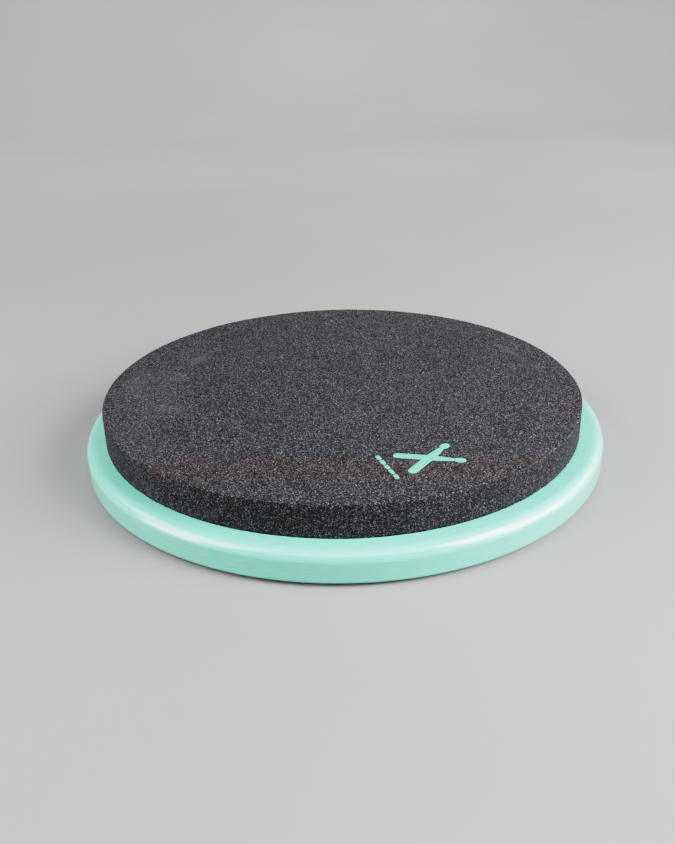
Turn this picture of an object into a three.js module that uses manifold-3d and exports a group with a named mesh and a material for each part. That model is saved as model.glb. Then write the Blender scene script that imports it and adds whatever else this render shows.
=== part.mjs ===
// Round drummer's practice pad: a disc of cellular rubber foam glued on a lacquered fibreboard disc,
// with an anti-slip rubber ring under the board and a small print on the playing face.
//
// Millimetres, +Z up, out of the playing face. The origin is on the pad's axis, at the level of the
// surface that the pad lies on, which is the underside of the anti-slip ring. The print is near the -Y edge.

import * as THREE from 'three';
import { mergeVertices } from 'three/addons/utils/BufferGeometryUtils.js';
import Module from 'manifold-3d';

// ---------------------------------------------------------------- driving dimensions

const BOARD_R = 152.4;            // 12 in board
const BOARD_T = 17;
const BOARD_TOP_ROUND = 6;        // quarter-round on the upper edge
const BOARD_BOTTOM_ROUND = 2;     // small radius on the lower edge

const FOAM_R = 139.7;             // 11 in foam disc
const FOAM_T = 18.25;
const FOAM_TOP_ROUND = 1;         // the cut edge is barely broken
const FOAM_OFFSET = [-1.125, -0.25]; // the disc is glued on by hand, a little off the board's centre

const FOAM_FILM_R = 137.7;        // the film stops 2 mm short of the foam's edge
const FOAM_FILM_T = 0.25;

const RING_OUTER_R = 115;
const RING_INNER_R = 75;
const RING_T = 2;
const RING_EDGE = 0.5;            // chamfer on the ring's lower edges
const RING_FILM_INSET = 1;        // the film is this much narrower than the ring, inside and outside
const RING_FILM_T = 0.25;

const PRINT_T = 0.125;            // printed ink
const PRINT_TURN = 21;            // degrees, print's width axis from +X
const EMBLEM_CENTRE = [41.9, -95.3];
const STICK_LENGTH = 37;
const STICK_BUTT_R = 2.4;
const STICK_NECK_R = 1.35;
const STICK_BEAD_R = 2.3;
const STICK_BEAD_HALF = 3.1;
const STICK_SPREAD = 33;          // degrees of each stick from the emblem's upright
const DASH_COUNT = 5;
const DASH_LENGTH = 4.3;
const DASH_WIDTH = 2;
const DASH_PITCH = 5.35;
const DASH_ROW = -23.4;           // the row's distance from the emblem's centre, along its upright

// radii where flat faces are divided, so that each interface has a face of its own
const PLAY_ZONE_R = 60;
const MARGIN_INNER_R = 118;

const BOARD_SEGMENTS = 96;
const FOAM_SEGMENTS = 96;
const FILM_SEGMENTS = 72;
const RING_SEGMENTS = 72;

// levels, from the resting surface up
const Z_RING_TOP = RING_T;
const Z_BOARD_BOTTOM = Z_RING_TOP + RING_FILM_T;
const Z_BOARD_TOP = Z_BOARD_BOTTOM + BOARD_T;
const Z_FOAM_BOTTOM = Z_BOARD_TOP + FOAM_FILM_T;
const Z_FOAM_TOP = Z_FOAM_BOTTOM + FOAM_T;

// ---------------------------------------------------------------- materials

const seafoamLacquer = () => new THREE.MeshStandardMaterial({ color: 0x7fcdb7, roughness: 0.35, metalness: 0 });
const foamRubber = () => new THREE.MeshStandardMaterial({ color: 0x3a393d, roughness: 0.95, metalness: 0 });
const adhesive = () => new THREE.MeshStandardMaterial({ color: 0xd8d2c0, roughness: 0.6, metalness: 0 });
const blackRubber = () => new THREE.MeshStandardMaterial({ color: 0x1b1b1d, roughness: 0.85, metalness: 0 });
const seafoamInk = () => new THREE.MeshStandardMaterial({ color: 0x8ad9c2, roughness: 0.7, metalness: 0 });

// ---------------------------------------------------------------- helpers

// turns a profile of [radius, height] pairs, listed from the lower end outwards and up, about the Z axis
function turned(profile, segments) {
  const geometry = new THREE.LatheGeometry(profile.map(([r, z]) => new THREE.Vector2(r, z)), segments);
  geometry.rotateX(Math.PI / 2);
  return geometry;
}

// points of a quarter circle, ends included, angles in degrees from +r towards +z
function arc(cr, cz, radius, from, to, steps) {
  const points = [];
  for (let i = 0; i <= steps; i++) {
    const a = THREE.MathUtils.degToRad(from + ((to - from) * i) / steps);
    points.push([cr + radius * Math.cos(a), cz + radius * Math.sin(a)]);
  }
  return points;
}

// a flat plate with the given outline
function plate(points, thickness) {
  const shape = new THREE.Shape(points.map(([x, y]) => new THREE.Vector2(x, y)));
  return new THREE.ExtrudeGeometry(shape, { depth: thickness, bevelEnabled: false, curveSegments: 1 });
}

function named(name, geometry, material) {
  const mesh = new THREE.Mesh(geometry, material);
  mesh.name = name;
  return mesh;
}

// ---------------------------------------------------------------- joining solids

const wasm = await Module();
wasm.setup();

function toSolid(geometry) {
  const g = geometry.clone();
  g.deleteAttribute('normal');
  g.deleteAttribute('uv');
  const merged = mergeVertices(g, 1e-5);
  return new wasm.Manifold(new wasm.Mesh({
    numProp: 3,
    vertProperties: new Float32Array(merged.attributes.position.array),
    triVerts: new Uint32Array(merged.index.array),
  }));
}

function toGeometry(solid) {
  const { vertProperties, triVerts, numProp } = solid.getMesh();
  const position = new Float32Array((vertProperties.length / numProp) * 3);
  for (let i = 0; i < position.length / 3; i++) {
    for (let k = 0; k < 3; k++) position[3 * i + k] = vertProperties[numProp * i + k];
  }
  const g = new THREE.BufferGeometry();
  g.setAttribute('position', new THREE.BufferAttribute(position, 3));
  g.setIndex([...triVerts]);
  g.computeVertexNormals();
  return g;
}

// ---------------------------------------------------------------- board and what is under it

const group = new THREE.Group();

const boardProfile = [
  [0, 0],
  [RING_INNER_R - 3, 0],
  [MARGIN_INNER_R, 0],
  ...arc(BOARD_R - BOARD_BOTTOM_ROUND, BOARD_BOTTOM_ROUND, BOARD_BOTTOM_ROUND, -90, 0, 3),
  ...arc(BOARD_R - BOARD_TOP_ROUND, BOARD_T - BOARD_TOP_ROUND, BOARD_TOP_ROUND, 0, 90, 6),
  [0, BOARD_T],
];
boardProfile[3][1] = 0;
boardProfile[boardProfile.length - 2][1] = BOARD_T;
const board = named('base_board', turned(boardProfile, BOARD_SEGMENTS), seafoamLacquer());
board.position.z = Z_BOARD_BOTTOM;
group.add(board);

const underside = new THREE.Group();
group.add(underside);

underside.add(named('anti_slip_ring', turned([
  [RING_INNER_R, RING_EDGE],
  [RING_INNER_R + RING_EDGE, 0],
  [RING_OUTER_R - RING_EDGE, 0],
  [RING_OUTER_R, RING_EDGE],
  [RING_OUTER_R, RING_T],
  [RING_INNER_R, RING_T],
  [RING_INNER_R, RING_EDGE],
], RING_SEGMENTS), blackRubber()));

const ringFilm = named('anti_slip_adhesive_film', turned([
  [RING_INNER_R + RING_FILM_INSET, 0],
  [RING_OUTER_R - RING_FILM_INSET, 0],
  [RING_OUTER_R - RING_FILM_INSET, RING_FILM_T],
  [RING_INNER_R + RING_FILM_INSET, RING_FILM_T],
  [RING_INNER_R + RING_FILM_INSET, 0],
], FILM_SEGMENTS), adhesive());
ringFilm.position.z = Z_RING_TOP;
underside.add(ringFilm);

// ---------------------------------------------------------------- playing pad

const pad = new THREE.Group();
pad.position.set(FOAM_OFFSET[0], FOAM_OFFSET[1], 0);
group.add(pad);

const foamFilm = named('foam_adhesive_film', turned([
  [0, 0],
  [FOAM_FILM_R, 0],
  [FOAM_FILM_R, FOAM_FILM_T],
  [0, FOAM_FILM_T],
], FILM_SEGMENTS), adhesive());
foamFilm.position.z = Z_BOARD_TOP;
pad.add(foamFilm);

const foamProfile = [
  [0, 0],
  [FOAM_R, 0],
  ...arc(FOAM_R - FOAM_TOP_ROUND, FOAM_T - FOAM_TOP_ROUND, FOAM_TOP_ROUND, 0, 90, 2),
  [PLAY_ZONE_R, FOAM_T],
  [0, FOAM_T],
];
foamProfile[4][1] = FOAM_T;
const foam = named('foam_pad', turned(foamProfile, FOAM_SEGMENTS), foamRubber());
foam.position.z = Z_FOAM_BOTTOM;
pad.add(foam);

// ---------------------------------------------------------------- print on the playing face
// The print's own axes: x is the emblem's upright, towards the sticks' beads, and y runs along the row of dashes.

const print = new THREE.Group();
print.position.set(EMBLEM_CENTRE[0], EMBLEM_CENTRE[1], Z_FOAM_TOP);
print.rotation.z = THREE.MathUtils.degToRad(PRINT_TURN);
group.add(print);

// one drumstick, lying along +x and centred on the origin: round butt, straight shaft, tapered neck, bead
function stickOutline() {
  const half = STICK_LENGTH / 2;
  const beadX = half - STICK_BEAD_HALF;
  const neckX = beadX - STICK_BEAD_HALF * 0.9;
  const upper = [];
  for (let i = 0; i <= 8; i++) {                        // bead, from the tip back to the neck
    const a = (Math.PI * 0.86 * i) / 8;
    upper.push([beadX + STICK_BEAD_HALF * Math.cos(a), STICK_BEAD_R * Math.sin(a)]);
  }
  upper.push([neckX - 0.6, STICK_NECK_R]);
  upper.push([half * 0.22, STICK_BUTT_R]);
  const buttX = -half + STICK_BUTT_R;
  for (let i = 0; i <= 5; i++) {                        // butt
    const a = Math.PI / 2 + (Math.PI / 2) * (i / 5);
    upper.push([buttX + STICK_BUTT_R * Math.cos(a), STICK_BUTT_R * Math.sin(a)]);
  }
  upper[0][1] = 0;
  upper[upper.length - 1][1] = 0;
  const lower = upper.slice(1, -1).reverse().map(([x, y]) => [x, -y]);
  return [...upper, ...lower];
}

function stick(turn) {
  const g = plate(stickOutline(), PRINT_T);
  g.rotateZ(THREE.MathUtils.degToRad(turn));
  return toSolid(g);
}

print.add(named('print_emblem', toGeometry(stick(STICK_SPREAD).add(stick(-STICK_SPREAD))), seafoamInk()));

for (let i = 0; i < DASH_COUNT; i++) {
  const l = DASH_LENGTH / 2;
  const w = DASH_WIDTH / 2;
  const c = 0.45;                                        // corner cut
  const dash = named(`print_dash_${i + 1}`, plate([
    [-w + c, -l], [w - c, -l], [w, -l + c], [w, l - c], [w - c, l], [-w + c, l], [-w, l - c], [-w, -l + c],
  ], PRINT_T), seafoamInk());
  dash.position.set(DASH_ROW, (i - (DASH_COUNT - 1) / 2) * DASH_PITCH, 0);
  print.add(dash);
}

export default group;
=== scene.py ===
"""Looks for the round drummer's practice pad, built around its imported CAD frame. Metres, +Z up."""

import math

import bmesh
import bpy
import numpy as np
from mathutils import Matrix, Vector


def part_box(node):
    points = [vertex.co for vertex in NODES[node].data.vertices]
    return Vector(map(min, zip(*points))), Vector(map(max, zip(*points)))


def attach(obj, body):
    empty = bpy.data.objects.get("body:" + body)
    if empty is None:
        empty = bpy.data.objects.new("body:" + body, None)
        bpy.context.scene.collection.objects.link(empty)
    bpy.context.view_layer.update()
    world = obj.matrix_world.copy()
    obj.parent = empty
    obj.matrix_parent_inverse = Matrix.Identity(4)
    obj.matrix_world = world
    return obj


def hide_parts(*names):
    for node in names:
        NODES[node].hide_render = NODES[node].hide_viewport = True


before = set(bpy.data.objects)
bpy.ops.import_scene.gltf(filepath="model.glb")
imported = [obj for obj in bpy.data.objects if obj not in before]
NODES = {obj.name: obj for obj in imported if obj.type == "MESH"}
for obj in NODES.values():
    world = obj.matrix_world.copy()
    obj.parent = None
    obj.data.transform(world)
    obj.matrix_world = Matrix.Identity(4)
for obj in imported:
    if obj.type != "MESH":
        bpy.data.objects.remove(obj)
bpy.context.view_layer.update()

MM = 0.001
scene = bpy.context.scene

# ------------------------------------------------------------------ places and sizes, from the frame


def centre_radius(node):
    lo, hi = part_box(node)
    return (lo.x + hi.x) / 2, (lo.y + hi.y) / 2, (hi.x - lo.x) / 2, lo.z, hi.z


BX, BY, BR, BZ0, BZ1 = [v / MM for v in centre_radius("base_board")]
FX, FY, FR, FZ0, FZ1 = [v / MM for v in centre_radius("foam_pad")]
RX, RY, RR, RZ0, RZ1 = [v / MM for v in centre_radius("anti_slip_ring")]
ring_pts = np.array([v.co[:] for v in NODES["anti_slip_ring"].data.vertices]) / MM
RING_IN = float(np.hypot(ring_pts[:, 0] - RX, ring_pts[:, 1] - RY).min())

# ------------------------------------------------------------------ mesh helpers (all in mm)


class Mesh:
    """Collects rings of points about a vertical axis, and joins neighbouring rings. A ring may have half or twice the points of the one before."""

    def __init__(self):
        self.v, self.f = [], []
        self.n = 0

    def add(self, pts):
        start = self.n
        self.v.append(np.asarray(pts, float))
        self.n += len(pts)
        return start, len(pts)

    def join(self, a, b):
        """Faces between ring a and ring b, both counter-clockwise seen from +Z. In a section with the radius to the right and height up, the outside is on the right of the way from a to b."""
        (sa, na), (sb, nb) = a, b
        if nb == 1:
            i = np.arange(na)
            self.f += [(sa + int(k), sa + int((k + 1) % na), sb) for k in i]
        elif na == 1:
            i = np.arange(nb)
            self.f += [(sa, sb + int((k + 1) % nb), sb + int(k)) for k in i]
        elif na == nb:
            for k in range(na):
                k2 = (k + 1) % na
                self.f.append((sa + k, sa + k2, sb + k2, sb + k))
        elif na == 2 * nb:
            for k in range(nb):
                k2 = (k + 1) % nb
                p, q, r = sa + 2 * k, sa + 2 * k + 1, sa + (2 * k + 2) % na
                self.f += [(p, q, sb + k), (q, sb + k2, sb + k), (q, r, sb + k2)]
        elif nb == 2 * na:
            for k in range(na):
                k2 = (k + 1) % na
                p, q, r = sb + 2 * k, sb + 2 * k + 1, sb + (2 * k + 2) % nb
                self.f += [(sa + k, q, p), (sa + k, sa + k2, q), (sa + k2, r, q)]
        else:
            raise ValueError("rings that can't be joined")

    def object(self, name, smooth=True):
        me = bpy.data.meshes.new(name)
        v = np.concatenate(self.v) * MM
        me.from_pydata(v.tolist(), [], self.f)
        me.validate()
        me.polygons.foreach_set("use_smooth", [smooth] * len(me.polygons))
        me.update()
        ob = bpy.data.objects.new(name, me)
        scene.collection.objects.link(ob)
        return ob


def ring(r, z, n, cx=0.0, cy=0.0, turn=0.0):
    t = np.arange(n) * (2 * np.pi / n) + turn
    r = np.broadcast_to(r, (n,))
    return np.stack([cx + r * np.cos(t), cy + r * np.sin(t), np.broadcast_to(z, (n,))], -1)


def waves(t, terms):
    """Sum of amplitude * cos(k * t + phase)."""
    return sum(a * np.cos(k * t + p) for a, k, p in terms)


def arc(cr, cz, radius, start, end, steps):
    return [
        (cr + radius * math.cos(math.radians(start + (end - start) * i / steps)),
         cz + radius * math.sin(math.radians(start + (end - start) * i / steps)))
        for i in range(steps + 1)
    ]


# ------------------------------------------------------------------ base board

TOP_ROUND, BOTTOM_ROUND = 6.0, 2.0


def build_board():
    m = Mesh()
    n = 768
    t = np.arange(n) * (2 * np.pi / n)
    # the routed edge wanders a few hundredths of a millimetre
    dr = waves(t, [(0.035, 3, 0.4), (0.02, 7, 1.9), (0.012, 17, 0.3), (0.008, 31, 2.2)])
    dz = waves(t, [(0.03, 2, 1.1), (0.02, 5, 2.6), (0.01, 13, 0.7)])
    zb, zt = BZ0, BZ1
    prof = [(BR - 14, zb), (BR - 6, zb), (BR - 3.0, zb), (BR - BOTTOM_ROUND - 0.35, zb)]
    prof += arc(BR - BOTTOM_ROUND, zb + BOTTOM_ROUND, BOTTOM_ROUND, -90, 0, 7)
    prof += [(BR, z) for z in np.linspace(zb + BOTTOM_ROUND + 0.4, zt - TOP_ROUND - 0.4, 7)]
    prof += arc(BR - TOP_ROUND, zt - TOP_ROUND, TOP_ROUND, 0, 90, 16)
    prof += [(BR - TOP_ROUND - 0.5, zt), (BR - 9, zt), (BR - 12, zt), (BR - 20, zt)]
    rings = []
    # underside, from its middle outwards
    inner = [(0.0, 1), (6, 24), (12, 48), (24, 96), (40, 192), (62, 192), (80, 384), (105, 384), (125, 768)]
    for r, k in inner:
        rings.append(m.add(ring(r, zb, k, BX, BY) if k > 1 else [[BX, BY, zb]]))
    for r, z in prof:
        edge = min(1.0, max(0.0, (r - (BR - 14)) / 8))
        hz = 1.0 if z > zb + 6 else 0.0
        rr = np.minimum(r + dr * edge, BR)
        rings.append(m.add(ring(rr, z + dz * 0.6 * hz * edge, n, BX, BY)))
    for r, k in [(125, 768), (105, 384), (80, 384), (62, 192), (40, 192), (24, 96), (12, 48), (6, 24), (0.0, 1)]:
        rings.append(m.add(ring(r, zt, k, BX, BY) if k > 1 else [[BX, BY, zt]]))
    for a, b in zip(rings, rings[1:]):
        m.join(a, b)
    return m.object("board_lacquered")


# ------------------------------------------------------------------ foam disc

FOAM_ROUND = 0.5
# the knife's line: the disc isn't a perfect circle
FOAM_OUTLINE = [(0.22, 2, 0.9), (0.14, 3, 2.0), (0.08, 5, 0.5), (0.05, 9, 1.4), (0.04, 14, 2.4)]


def foam_height(x, y):
    """Slow unevenness of the foam's face, in mm, at x, y in mm from the disc's middle."""
    return (
        0.10 * np.sin(x / 31 + 1.3) * np.cos(y / 27 - 0.4)
        + 0.06 * np.sin((x + 1.7 * y) / 19 + 2.1)
        + 0.03 * np.sin((1.4 * x - y) / 7.5 + 0.6)
        - 0.16
    )


def build_foam():
    m = Mesh()
    rng = np.random.default_rng(20)
    n = 768
    step = 1.14

    def grain(k, sigma=0.035, pit=0.16):
        g = rng.normal(0, sigma, k)
        g = np.clip(g, -2.2 * sigma, 2.2 * sigma)
        pits = rng.random(k) < 0.055
        return np.where(pits, g - rng.uniform(0.3, 1.0, k) * pit, g)

    def wander(k):
        t = np.arange(k) * (2 * np.pi / k)
        return t, waves(t, FOAM_OUTLINE)

    rings = []
    # bottom face, from its middle outwards; the cut edge presses down past the glue film
    for r, k in [(0.0, 1), (6, 24), (12, 48), (24, 96), (40, 192), (62, 192), (80, 384), (105, 384), (125, 768), (134, 768)]:
        rings.append(m.add(ring(r, FZ0, k, FX, FY) if k > 1 else [[FX, FY, FZ0]]))
    t, w = wander(n)
    lip = BZ1 + 0.03
    rings.append(m.add(ring(FR - 1.75 + 0.3 * w, FZ0, n, FX, FY)))
    rings.append(m.add(ring(FR - 1.45 + 0.5 * w, lip, n, FX, FY)))
    rings.append(m.add(ring(FR - 0.5 + w, lip, n, FX, FY)))
    # side, upwards
    zs = np.linspace(lip + 0.15, FZ1 - FOAM_ROUND, 16)
    top = foam_height(FR * np.cos(t), FR * np.sin(t))
    for i, z in enumerate(zs):
        # every row but the lowest is turned by small random amounts along the edge, so that no rows or columns show
        shift = rng.uniform(-0.28, 0.28, n) * (2 * np.pi / n) * (0 < i)
        ang = t + shift
        r = FR + w + grain(n, 0.035, 0.18) - 0.08
        if i == 0:
            r = FR + w - 0.12 + np.clip(rng.normal(0, 0.10, n), -0.22, 0.22)
        zz = z + (rng.uniform(-0.3, 0.3, n) if 0 < i < 15 else 0) + top * (i / 15)
        rings.append(m.add(np.stack([FX + r * np.cos(ang), FY + r * np.sin(ang), zz + np.zeros(n)], -1)))
    # cut edge
    for k, a in enumerate((30, 60)):
        a = math.radians(a)
        r = FR - FOAM_ROUND * (1 - math.cos(a)) + w + grain(n, 0.02, 0.05) - 0.05
        z = FZ1 - FOAM_ROUND * (1 - math.sin(a)) + top + grain(n, 0.02, 0.05)
        rings.append(m.add(np.stack([FX + r * np.cos(t), FY + r * np.sin(t), z], -1)))
    # face, inwards
    r, k = FR - FOAM_ROUND, n
    while r > 1.2:
        ang = np.arange(k) * (2 * np.pi / k) + rng.uniform(-0.3, 0.3, k) * (2 * np.pi / k)
        rad = np.full(k, r) + rng.uniform(-0.3, 0.3, k) * step
        if r == FR - FOAM_ROUND:
            rad = np.full(k, r)
            ang = np.arange(k) * (2 * np.pi / k)
        out = waves(ang, FOAM_OUTLINE) * (r / FR) ** 6
        x, y = (rad + out) * np.cos(ang), (rad + out) * np.sin(ang)
        z = FZ1 + foam_height(x, y) + grain(k)
        rings.append(m.add(np.stack([FX + x, FY + y, z], -1)))
        r -= step
        if k > 12 and r * 2 * np.pi / k < 0.62 * step:
            k //= 2
    rings.append(m.add([[FX, FY, FZ1 + float(foam_height(np.array(0.0), np.array(0.0)))]]))
    for a, b in zip(rings, rings[1:]):
        m.join(a, b)
    return m.object("foam_playing_pad")


# ------------------------------------------------------------------ anti-slip ring


def build_ring():
    m = Mesh()
    rng = np.random.default_rng(5)
    n = 576
    t = np.arange(n) * (2 * np.pi / n)
    edge_out = waves(t, [(0.15, 2, 0.2), (0.1, 5, 1.0), (0.06, 11, 2.0)])
    edge_in = waves(t, [(0.15, 3, 1.2), (0.1, 4, 0.1), (0.06, 9, 1.0)])
    c = 0.5
    lo, hi = RZ0, RZ1
    prof = [(RING_IN + c, lo, "in")]
    for r in np.linspace(RING_IN + c, RR - c, 30)[1:-1]:
        prof.append((r, lo, "mid"))
    prof += [(RR - c, lo, "out"), (RR - 0.12, lo + 0.14, "out"), (RR, lo + c, "out"), (RR, (lo + hi) / 2, "out"), (RR, hi - 0.1, "out"), (RR - 0.1, hi, "out")]
    prof += [(RR - 12, hi, "mid"), (RING_IN + 12, hi, "mid")]
    prof += [(RING_IN + 0.1, hi, "in"), (RING_IN, hi - 0.1, "in"), (RING_IN, (lo + hi) / 2, "in"), (RING_IN, lo + c, "in"), (RING_IN + 0.12, lo + 0.14, "in")]
    rings = []
    for r, z, kind in prof:
        rr = r + (edge_out if kind == "out" else edge_in if kind == "in" else 0) * 0.8
        if kind == "out":
            rr = np.minimum(rr, RR)
        zz = np.full(n, z)
        if z == lo:
            zz = zz + np.abs(rng.normal(0, 0.02, n)) * (kind == "mid")
        rings.append(m.add(ring(rr, zz, n, RX, RY)))
    for a, b in zip(rings, rings[1:] + rings[:1]):
        m.join(a, b)
    return m.object("anti_slip_ring_rubber")


# ------------------------------------------------------------------ print


def build_print(node, name, seed, spacing=0.55):
    """The CAD print's outline, laid on the foam's uneven face as a thin skin of ink with a slightly broken edge."""
    rng = np.random.default_rng(seed)
    bm = bmesh.new()
    bm.from_mesh(NODES[node].data)
    bmesh.ops.remove_doubles(bm, verts=bm.verts[:], dist=1e-6)
    bmesh.ops.recalc_face_normals(bm, faces=bm.faces[:])
    bmesh.ops.delete(bm, geom=[f for f in bm.faces if f.normal.z < 0.5], context="FACES")
    bmesh.ops.dissolve_limit(bm, angle_limit=0.01, verts=bm.verts[:], edges=bm.edges[:])
    turn = math.radians(21)
    for axis in (0, 1):
        no = Vector((math.cos(turn + axis * math.pi / 2), math.sin(turn + axis * math.pi / 2), 0))
        ds = [v.co.dot(no) for v in bm.verts]
        d, top = min(ds) + spacing * MM * 0.6, max(ds)
        while d < top:
            bmesh.ops.bisect_plane(bm, geom=bm.verts[:] + bm.edges[:] + bm.faces[:], dist=1e-7, plane_co=no * d, plane_no=no)
            d += spacing * MM
    bmesh.ops.triangulate(bm, faces=bm.faces[:])
    edge = {v for e in bm.edges if len(e.link_faces) == 1 for v in e.verts}
    for v in bm.verts:
        x, y = v.co.x / MM - FX, v.co.y / MM - FY
        lift = 0.155 + rng.normal(0, 0.012)
        if v in edge:
            x += float(np.clip(rng.normal(0, 0.05), -0.1, 0.1))
            y += float(np.clip(rng.normal(0, 0.05), -0.1, 0.1))
            lift = 0.10
        z = FZ1 + float(foam_height(np.array(x), np.array(y))) + lift
        v.co = Vector(((x + FX) * MM, (y + FY) * MM, z * MM))
    made = bmesh.ops.extrude_face_region(bm, geom=bm.faces[:])
    # the extruded copy is the lower side
    low = [g for g in made["geom"] if isinstance(g, bmesh.types.BMVert)]
    for v in low:
        v.co.z -= 0.17 * MM
    bmesh.ops.recalc_face_normals(bm, faces=bm.faces[:])
    me = bpy.data.meshes.new(name)
    bm.to_mesh(me)
    bm.free()
    me.polygons.foreach_set("use_smooth", [True] * len(me.polygons))
    ob = bpy.data.objects.new(name, me)
    scene.collection.objects.link(ob)
    return ob


# ------------------------------------------------------------------ material helpers


class Nodes:
    def __init__(self, name):
        self.mat = bpy.data.materials.new(name)
        self.mat.use_nodes = True
        self.t = self.mat.node_tree
        self.t.nodes.clear()
        self.out = self.t.nodes.new("ShaderNodeOutputMaterial")
        self.bsdf = self.t.nodes.new("ShaderNodeBsdfPrincipled")
        self.t.links.new(self.bsdf.outputs[0], self.out.inputs["Surface"])
        self.co = self.t.nodes.new("ShaderNodeTexCoord").outputs["Object"]

    def new(self, kind, **props):
        n = self.t.nodes.new(kind)
        for k, v in props.items():
            setattr(n, k, v)
        return n

    def put(self, socket, value):
        if isinstance(value, bpy.types.NodeSocket):
            self.t.links.new(value, socket)
        else:
            socket.default_value = value

    def math(self, op, a, b=0.0, c=0.0, clamp=False):
        n = self.new("ShaderNodeMath", operation=op, use_clamp=clamp)
        for s, v in zip(n.inputs, (a, b, c)):
            self.put(s, v)
        return n.outputs[0]

    def noise(self, scale, detail=2.0, rough=0.5, co=None, distortion=0.0):
        n = self.new("ShaderNodeTexNoise", noise_dimensions="3D")
        self.put(n.inputs["Vector"], co or self.co)
        n.inputs["Scale"].default_value = scale
        n.inputs["Detail"].default_value = detail
        n.inputs["Roughness"].default_value = rough
        n.inputs["Distortion"].default_value = distortion
        return n.outputs["Fac"]

    def voronoi(self, scale, feature="F1", co=None, randomness=1.0):
        n = self.new("ShaderNodeTexVoronoi", voronoi_dimensions="3D", feature=feature)
        self.put(n.inputs["Vector"], co or self.co)
        n.inputs["Scale"].default_value = scale
        n.inputs["Randomness"].default_value = randomness
        return n

    def remap(self, value, a, b, c, d, kind="LINEAR"):
        n = self.new("ShaderNodeMapRange", interpolation_type=kind, clamp=True)
        self.put(n.inputs["Value"], value)
        for k, v in zip(("From Min", "From Max", "To Min", "To Max"), (a, b, c, d)):
            n.inputs[k].default_value = v
        return n.outputs["Result"]

    def mix(self, fac, a, b, mode="MIX"):
        n = self.new("ShaderNodeMix", data_type="RGBA", blend_type=mode)
        self.put(n.inputs[0], fac)
        self.put(n.inputs[6], a)
        self.put(n.inputs[7], b)
        return n.outputs[2]

    def split(self, co=None):
        n = self.new("ShaderNodeSeparateXYZ")
        self.put(n.inputs[0], co or self.co)
        return n.outputs

    def join(self, x, y, z):
        n = self.new("ShaderNodeCombineXYZ")
        for s, v in zip(n.inputs, (x, y, z)):
            self.put(s, v)
        return n.outputs[0]

    def bump(self, height, strength, distance, normal=None):
        n = self.new("ShaderNodeBump")
        n.inputs["Strength"].default_value = strength
        n.inputs["Distance"].default_value = distance
        self.put(n.inputs["Height"], height)
        if normal is not None:
            self.put(n.inputs["Normal"], normal)
        return n.outputs[0]

    def set(self, **values):
        for k, v in values.items():
            self.put(self.bsdf.inputs[k.replace("_", " ")], v)


def srgb(r, g, b):
    def lin(c):
        c /= 255
        return c / 12.92 if c <= 0.04045 else ((c + 0.055) / 1.055) ** 2.4
    return (lin(r), lin(g), lin(b), 1.0)


def scaled(rgb, k):
    return (rgb[0] * k, rgb[1] * k, rgb[2] * k, 1.0)


# ------------------------------------------------------------------ materials

FOAM_TONE = scaled(srgb(46, 44.6, 47.6), 1.23)
# tints and strengths of painted warm light and painted cool light on the foam's face
FOAM_WARM_LIGHT = scaled(srgb(48.3, 44.0, 42.8), 1.23)
FOAM_COOL_LIGHT = scaled(srgb(43.6, 44.9, 48.2), 1.23)
WARM_LIGHT, COOL_LIGHT = 0.6, 0.55


def lacquer():
    """Satin seafoam lacquer sprayed on fibreboard: orange peel on the flats, and faint sanding lines round the edge."""
    m = Nodes("seafoam_lacquer")
    x, y, z = m.split()
    base = (0.174, 0.607, 0.445, 1.0)
    # round the edge: arc length, height and radius as coordinates
    ang = m.math("ARCTAN2", y, x)
    rad = m.math("SQRT", m.math("ADD", m.math("MULTIPLY", x, x), m.math("MULTIPLY", y, y)))
    around = m.join(m.math("MULTIPLY", ang, 0.1524), m.math("MULTIPLY", z, 14.0), m.math("MULTIPLY", rad, 14.0))
    lines = m.noise(34.0, 5.0, 0.6, co=around)
    streaks = m.noise(120.0, 3.0, 0.65, co=around)
    cloud = m.noise(16.0, 3.0, 0.5)
    tone = m.math("ADD", m.remap(cloud, 0.3, 0.7, -0.035, 0.035), m.math("ADD", m.remap(lines, 0.3, 0.7, -0.06, 0.06), m.remap(streaks, 0.3, 0.7, -0.20, 0.20)))
    # painted shade: the side below the top's round is painted a little deeper in tone than the face
    tone = m.math("SUBTRACT", tone, m.remap(z, (BZ1 - TOP_ROUND - 0.2) * MM, (BZ1 - TOP_ROUND + 2.6) * MM, 0.38, 0.0, "SMOOTHSTEP"))
    colour = m.mix(m.math("ADD", 0.5, tone, clamp=True), scaled(base, 0.72), scaled(base, 1.28))
    # dust in the lacquer and small rubbed spots
    dust = m.voronoi(230.0)
    speck = m.math("LESS_THAN", dust.outputs["Distance"], 0.075)
    few = m.math("GREATER_THAN", m.noise(120.0, 0.0), 0.66)
    colour = m.mix(m.math("MULTIPLY", m.math("MULTIPLY", speck, few), 0.35), colour, scaled(base, 0.6))
    m.set(Base_Color=colour)
    m.put(m.bsdf.inputs["Roughness"], m.remap(m.noise(55.0, 3.0), 0.3, 0.7, 0.32, 0.40))
    peel = m.noise(420.0, 2.0, 0.45)
    fine = m.noise(1500.0, 1.0, 0.5)
    n1 = m.bump(peel, 0.32, 0.00014)
    n2 = m.bump(m.math("ADD", lines, m.math("MULTIPLY", streaks, 0.45)), 0.4, 0.00025, n1)
    n3 = m.bump(fine, 0.12, 0.00002, n2)
    m.set(Normal=n3)
    m.bsdf.inputs["IOR"].default_value = 1.5
    m.bsdf.inputs["Specular IOR Level"].default_value = 0.5
    m.bsdf.inputs["Coat Weight"].default_value = 1.0
    m.bsdf.inputs["Coat Roughness"].default_value = 0.18
    return m.mat


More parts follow.
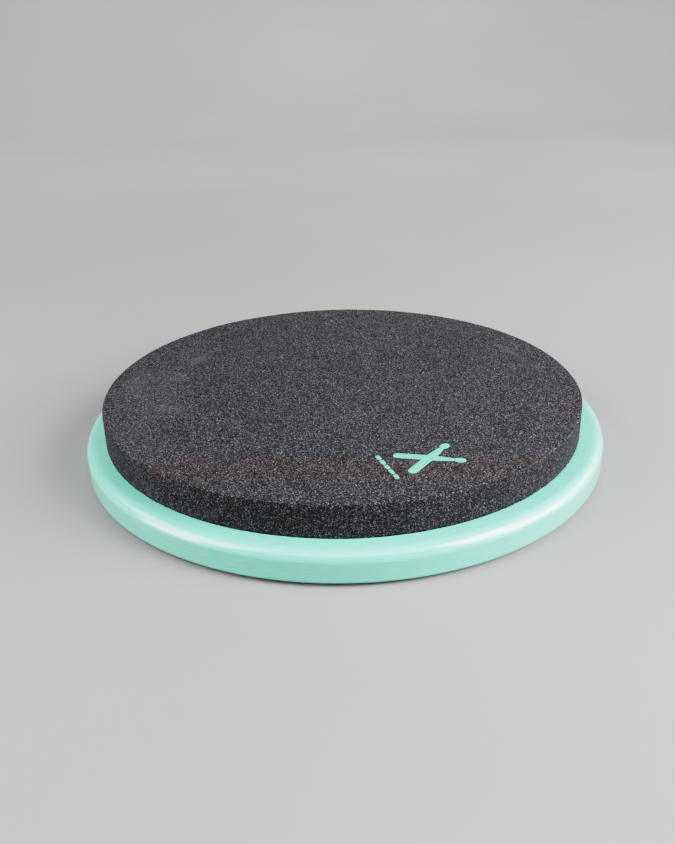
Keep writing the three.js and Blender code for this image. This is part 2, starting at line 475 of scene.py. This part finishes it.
# marks on the foam's face: middle in mm from the disc's, turn in degrees, half length and half width in mm, strength
SMUDGES = [
    (108.5, 48.5, -60, 23, 2.7, 0.55), (121, 21, -70, 13, 2.2, 0.36), (95, -88, 47, 35, 14, 0.10),
    (-91, 46, 60, 12, 7.5, 0.50), (-97, 52, 60, 26, 15, 0.12), (-102, 16, 70, 11, 7, 0.32), (-98, -30, -25, 17, 9, 0.32),
    (-112, -15, 90, 58, 28, 0.20), (-108, -72, -56, 46, 18, 0.13), (-125, 12, 82, 24, 9, 0.26),
]


def smudge(m, x, y, wobble, cx, cy, turn, length, width, strength):
    c, s = math.cos(math.radians(turn)), math.sin(math.radians(turn))
    dx = m.math("SUBTRACT", x, (FX + cx) * MM)
    dy = m.math("SUBTRACT", y, (FY + cy) * MM)
    u = m.math("ADD", m.math("MULTIPLY", dx, c / (length * MM)), m.math("MULTIPLY", dy, s / (length * MM)))
    v = m.math("ADD", m.math("MULTIPLY", dx, -s / (width * MM)), m.math("MULTIPLY", dy, c / (width * MM)))
    d = m.math("SQRT", m.math("ADD", m.math("MULTIPLY", u, u), m.math("MULTIPLY", v, v)))
    return m.math("MULTIPLY", m.remap(m.math("ADD", d, wobble), 0.1, 1.05, 1.0, 0.0, "SMOOTHSTEP"), strength)


def foam_rubber():
    """Dark grey cellular rubber with a cut face: crumbs of about half a millimetre between open cells, with painted
    glints where cell walls catch the light and painted shade in the cells, painted shade and light on the side, painted
    warm and cool light on the face, and faint handling marks.
    """
    m = Nodes("cut_foam_rubber")
    x, y, z = m.split()
    base = FOAM_TONE
    crumb = m.voronoi(2700.0)
    rand = m.new("ShaderNodeSeparateColor")
    m.put(rand.inputs[0], crumb.outputs["Color"])
    cell = m.voronoi(1750.0)
    rand2 = m.new("ShaderNodeSeparateColor")
    m.put(rand2.inputs[0], cell.outputs["Color"])
    # crumbs differ in tone, most are dark; a few are painted bright as painted glints where cell walls catch the light
    bright = m.math("ADD", 0.20, m.math("MULTIPLY", rand.outputs[0], 0.42))
    bright = m.math("ADD", bright, m.math("MULTIPLY", m.math("POWER", rand.outputs[0], 9.0), 4.3))
    # on the cut side the difference between crumbs is smaller
    calm = m.remap(z, (FZ1 - 0.8) * MM, (FZ1 - 0.5) * MM, 0.84, 1.0)
    bright = m.math("ADD", 0.84, m.math("MULTIPLY", m.math("SUBTRACT", bright, 0.84), calm))
    bright = m.math("MULTIPLY", bright, m.math("ADD", 0.65, m.math("MULTIPLY", rand2.outputs[0], 0.70)))
    # open cells: bumped in, and darkened in colour as painted shade in their hollows
    hole = m.math("LESS_THAN", rand2.outputs[1], 0.10)
    hole = m.math("MULTIPLY", hole, m.remap(cell.outputs["Distance"], 0.25, 0.5, 1.0, 0.0))
    bright = m.math("MULTIPLY", bright, m.math("SUBTRACT", 1.0, m.math("MULTIPLY", hole, 0.6)))
    # slow tone changes: handling marks and the sheet's own mottle
    slow = m.remap(m.noise(11.0, 3.0, 0.55), 0.3, 0.7, -0.05, 0.05)
    mottle = m.remap(m.noise(85.0, 2.0, 0.5), 0.3, 0.7, -0.05, 0.05)
    face = m.math("GREATER_THAN", z, (FZ1 - 1.2) * MM)
    wobble = m.math("MULTIPLY", m.math("SUBTRACT", m.noise(240.0, 3.0), 0.5), 0.9)
    marks = smudge(m, x, y, wobble, *SMUDGES[0])
    for mark in SMUDGES[1:]:
        marks = m.math("ADD", marks, smudge(m, x, y, wobble, *mark))
    # dust evens out the crumbs where the face has been handled, and lightens it
    marks = m.math("MULTIPLY", marks, face)
    even = m.math("MAXIMUM", 0.35, m.math("SUBTRACT", 1.0, m.math("MULTIPLY", marks, 1.1)))
    bright = m.math("ADD", 0.84, m.math("MULTIPLY", m.math("SUBTRACT", bright, 0.84), even))
    slow = m.math("ADD", slow, m.math("MULTIPLY", marks, 0.85))
    bright = m.math("MULTIPLY", bright, m.math("ADD", 1.0, m.math("ADD", slow, mottle)))
    # painted shade: the side is painted darker than the face
    side = m.remap(z, (FZ1 - 0.8) * MM, (FZ1 - 0.5) * MM, 0.83, 1.0)
    # painted light and shade on the side: lighter towards the left, darker towards the right
    uneven = m.math("MULTIPLY", m.remap(x, -0.13, -0.04, 1.15, 1.0, "SMOOTHSTEP"), m.remap(x, 0.04, 0.110, 1.0, 0.76, "SMOOTHSTEP"))
    on_face = m.remap(z, (FZ1 - 0.8) * MM, (FZ1 - 0.5) * MM, 0.0, 1.0)
    side = m.math("MULTIPLY", side, m.math("ADD", m.math("MULTIPLY", on_face, m.math("SUBTRACT", 1.0, uneven)), uneven))
    bright = m.math("MULTIPLY", bright, m.math("MULTIPLY", side, 1.22))
    # painted light near the front of the face: a weak warm band, and a weak cool band behind it
    wob = m.math("MULTIPLY", m.math("SUBTRACT", m.noise(14.0, 2.0), 0.5), 0.03)
    yy = m.math("ADD", y, wob)
    warm_light = m.math("MULTIPLY", m.remap(yy, -0.124, -0.108, 0.0, 1.0, "SMOOTHSTEP"), m.remap(yy, -0.100, -0.084, 1.0, 0.0, "SMOOTHSTEP"))
    cool_light = m.math("MULTIPLY", m.remap(yy, -0.094, -0.080, 0.0, 1.0, "SMOOTHSTEP"), m.remap(yy, -0.072, -0.052, 1.0, 0.0, "SMOOTHSTEP"))
    tint = m.mix(m.math("MULTIPLY", m.math("MULTIPLY", warm_light, face), WARM_LIGHT), base, FOAM_WARM_LIGHT)
    tint = m.mix(m.math("MULTIPLY", m.math("MULTIPLY", cool_light, face), COOL_LIGHT), tint, FOAM_COOL_LIGHT)
    tone = m.new("ShaderNodeVectorMath", operation="SCALE")
    m.put(tone.inputs[0], tint)
    m.put(tone.inputs["Scale"], bright)
    m.put(m.bsdf.inputs["Base Color"], tone.outputs[0])
    m.put(m.bsdf.inputs["Roughness"], m.remap(rand.outputs[1], 0.0, 1.0, 0.6, 0.95))
    height = m.math("ADD", m.math("MULTIPLY", rand.outputs[2], 0.6), m.math("MULTIPLY", crumb.outputs["Distance"], -0.6))
    height = m.math("SUBTRACT", height, m.math("MULTIPLY", hole, 1.2))
    n1 = m.bump(height, 0.5, 0.00018)
    n2 = m.bump(m.noise(420.0, 2.0, 0.5), 0.25, 0.0003, n1)
    m.set(Normal=n2)
    m.bsdf.inputs["IOR"].default_value = 1.45
    m.bsdf.inputs["Specular IOR Level"].default_value = 0.06
    return m.mat


def ink():
    """Seafoam screen-print ink: even, a little broken where the foam's cells open."""
    m = Nodes("seafoam_ink")
    base = (0.119, 0.468, 0.300, 1.0)
    cells = m.voronoi(1300.0)
    pit = m.math("MULTIPLY", m.math("LESS_THAN", cells.outputs["Distance"], 0.16), m.math("GREATER_THAN", m.noise(900.0, 1.0), 0.56))
    tone = m.remap(m.noise(520.0, 3.0, 0.6), 0.3, 0.7, 0.0, 1.0)
    colour = m.mix(tone, scaled(base, 0.90), scaled(base, 1.06))
    colour = m.mix(m.math("MULTIPLY", pit, 0.5), colour, scaled(base, 0.35))
    m.set(Base_Color=colour)
    m.put(m.bsdf.inputs["Roughness"], m.remap(m.noise(700.0, 2.0), 0.3, 0.7, 0.5, 0.7))
    m.set(Normal=m.bump(m.math("ADD", m.noise(900.0, 2.0), m.math("MULTIPLY", cells.outputs["Distance"], 0.5)), 0.35, 0.00012))
    m.bsdf.inputs["Specular IOR Level"].default_value = 0.4
    return m.mat


def anti_slip_rubber():
    """Black sheet rubber with a fine cloth-pressed texture."""
    m = Nodes("anti_slip_rubber")
    x, y, z = m.split()
    wx = m.math("SINE", m.math("MULTIPLY", m.math("ADD", x, y), 2 * math.pi / 0.0014))
    wy = m.math("SINE", m.math("MULTIPLY", m.math("SUBTRACT", x, y), 2 * math.pi / 0.0014))
    weave = m.math("MAXIMUM", wx, wy)
    cloud = m.noise(28.0, 4.0, 0.6)
    colour = m.mix(m.remap(cloud, 0.3, 0.7, 0.0, 1.0), srgb(26, 26, 28), srgb(40, 40, 42))
    colour = m.mix(m.remap(m.noise(600.0, 2.0), 0.62, 0.75, 0.0, 0.35), colour, srgb(78, 77, 74))
    m.set(Base_Color=colour)
    m.put(m.bsdf.inputs["Roughness"], m.remap(cloud, 0.3, 0.7, 0.62, 0.85))
    n1 = m.bump(weave, 0.45, 0.0001)
    m.set(Normal=m.bump(m.noise(900.0, 2.0), 0.3, 0.0001, n1))
    return m.mat


def adhesive():
    """Acrylic adhesive film, cloudy, with fibres of its carrier."""
    m = Nodes("adhesive_film")
    colour = m.mix(m.remap(m.noise(60.0, 4.0, 0.6), 0.3, 0.7, 0.0, 1.0), srgb(196, 187, 163), srgb(222, 215, 196))
    m.set(Base_Color=colour)
    m.put(m.bsdf.inputs["Roughness"], m.remap(m.noise(300.0, 3.0), 0.3, 0.7, 0.35, 0.6))
    m.set(Normal=m.bump(m.noise(800.0, 3.0), 0.25, 0.0001))
    return m.mat


def assign(ob, mat):
    ob.data.materials.clear()
    ob.data.materials.append(mat)


# ------------------------------------------------------------------ camera

F_PX, TALL = 907.598, 844.0
EYE = Vector((-3.99257, -498.88204, 251.64967 + BZ0)) * MM
RIGHT = Vector((0.99971675, -0.01035264, -0.02143012))
UP = Vector((0.02379973, 0.4348664, 0.90018042))
BACK = Vector((0.0, -0.90043547, 0.43498962))


def make_camera():
    data = bpy.data.cameras.new("camera")
    data.sensor_fit = "AUTO"
    data.sensor_width = 36.0
    data.lens = F_PX / TALL * 36.0
    data.clip_start, data.clip_end = 0.01, 50.0
    cam = bpy.data.objects.new("camera", data)
    scene.collection.objects.link(cam)
    cam.matrix_world = Matrix((
        (RIGHT.x, UP.x, BACK.x, EYE.x),
        (RIGHT.y, UP.y, BACK.y, EYE.y),
        (RIGHT.z, UP.z, BACK.z, EYE.z),
        (0, 0, 0, 1),
    ))
    scene.camera = cam


# ------------------------------------------------------------------ stage and light


def make_stage():
    """A pale sweep: floor, a wide curve, and a wall behind."""
    prof = [(-3.0, 0.0), (-1.0, 0.0), (0.0, 0.0), (1.2, 0.0)]
    for i in range(1, 13):
        a = math.radians(90 * i / 12)
        prof.append((1.2 + 0.9 * math.sin(a), 0.9 - 0.9 * math.cos(a)))
    prof.append((2.1, 3.2))
    bm = bmesh.new()
    cols = []
    for x in np.linspace(-3.4, 3.4, 9):
        cols.append([bm.verts.new((x, p[0], p[1])) for p in prof])
    for a, b in zip(cols, cols[1:]):
        for i in range(len(prof) - 1):
            bm.faces.new((a[i], b[i], b[i + 1], a[i + 1]))
    me = bpy.data.meshes.new("floor")
    bm.to_mesh(me)
    bm.free()
    me.polygons.foreach_set("use_smooth", [True] * len(me.polygons))
    ob = bpy.data.objects.new("floor", me)
    scene.collection.objects.link(ob)
    m = Nodes("pale_floor")
    m.set(Base_Color=m.mix(m.remap(m.noise(3.0, 3.0), 0.3, 0.7, 0.0, 1.0), (0.225, 0.225, 0.2225, 1), (0.243, 0.243, 0.240, 1)))
    m.bsdf.inputs["Roughness"].default_value = 0.75
    m.bsdf.inputs["Specular IOR Level"].default_value = 0.25
    assign(ob, m.mat)


LIGHTS = [
    # name, place, aim, size across, size up, watts, colour
    ("over_front", (-0.000, -0.249, 1.194), (0, 0, 0), 0.90, 0.50, 1.50, (1, 1, 1)),
    ("front_band", (0.030, -0.790, 0.930), (0, -0.12, 0), 0.75, 0.15, 2.60, (1, 1, 1)),
    ("front", (-0.000, -0.870, 0.986), (0, 0, 0), 0.80, 0.40, 0.20, (1, 1, 1)),
    ("over_left", (-0.460, -0.460, 1.146), (0, 0, 0), 0.80, 0.40, 2.51, (1, 1, 1)),
    ("key", (0.911, -0.526, 0.784), (0, 0, 0), 0.60, 0.60, 27.99, (1, 1, 1)),
    ("right", (1.052, 0.000, 0.784), (0, 0, 0), 0.60, 0.60, 3.23, (1, 1, 1)),
    ("left_front", (-0.911, -0.526, 0.784), (0, 0, 0), 0.60, 0.60, 10.12, (1, 1, 1)),
    ("left", (-1.052, 0.000, 0.784), (0, 0, 0), 0.60, 0.60, 5.04, (1, 1, 1)),
    ("low_right", (1.228, -0.329, 0.290), (0, 0, 0), 0.70, 0.50, 22.00, (1, 1, 1)),
    ("low_right_rear", (1.252, 0.221, 0.290), (0, 0, 0), 0.70, 0.50, 3.91, (1, 1, 1)),
    ("low_rear", (1.114, 0.592, 0.334), (0, 0, 0), 0.60, 0.50, 1.97, (1, 1, 1)),
    ("low_left", (-1.195, -0.435, 0.290), (0, 0, 0), 0.60, 0.50, 10.12, (1, 1, 1)),
    ("backdrop", (0.0, 0.95, 0.95), (0, 1.75, 0.05), 2.60, 0.30, 26.00, (1, 1, 1)),
]
WORLD = 0.02


def make_lights():
    for name, place, aim, sx, sy, watts, colour in LIGHTS:
        data = bpy.data.lights.new(name, "AREA")
        data.shape = "RECTANGLE"
        data.size, data.size_y = sx, sy
        data.energy = watts
        data.color = colour
        ob = bpy.data.objects.new(name, data)
        scene.collection.objects.link(ob)
        ob.location = place
        ob.rotation_mode = "QUATERNION"
        ob.rotation_quaternion = (Vector(aim) - Vector(place)).to_track_quat("-Z", "Y")
    world = bpy.data.worlds.new("studio")
    scene.world = world
    world.use_nodes = True
    bg = world.node_tree.nodes["Background"]
    bg.inputs["Color"].default_value = (0.96, 0.98, 1.0, 1)
    bg.inputs["Strength"].default_value = WORLD


# ------------------------------------------------------------------ build

make_camera()
make_stage()
make_lights()
scene.view_settings.view_transform = "Filmic"
scene.view_settings.look = "High Contrast"
scene.view_settings.exposure = 0.0
scene.view_settings.gamma = 1.0

LACQUER, FOAM, INK, RUBBER, GLUE = lacquer(), foam_rubber(), ink(), anti_slip_rubber(), adhesive()

board = build_board()
assign(board, LACQUER)
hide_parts("base_board")
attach(board, "root")

foam = build_foam()
assign(foam, FOAM)
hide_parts("foam_pad")
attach(foam, "root")

slip = build_ring()
assign(slip, RUBBER)
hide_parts("anti_slip_ring")
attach(slip, "root")

prints = [n for n in sorted(NODES) if n.startswith("print_")]
for i, node in enumerate(prints):
    p = build_print(node, node + "_ink", 40 + i)
    assign(p, INK)
    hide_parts(node)
    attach(p, "root")

for node in ("foam_adhesive_film", "anti_slip_adhesive_film"):
    assign(NODES[node], GLUE)
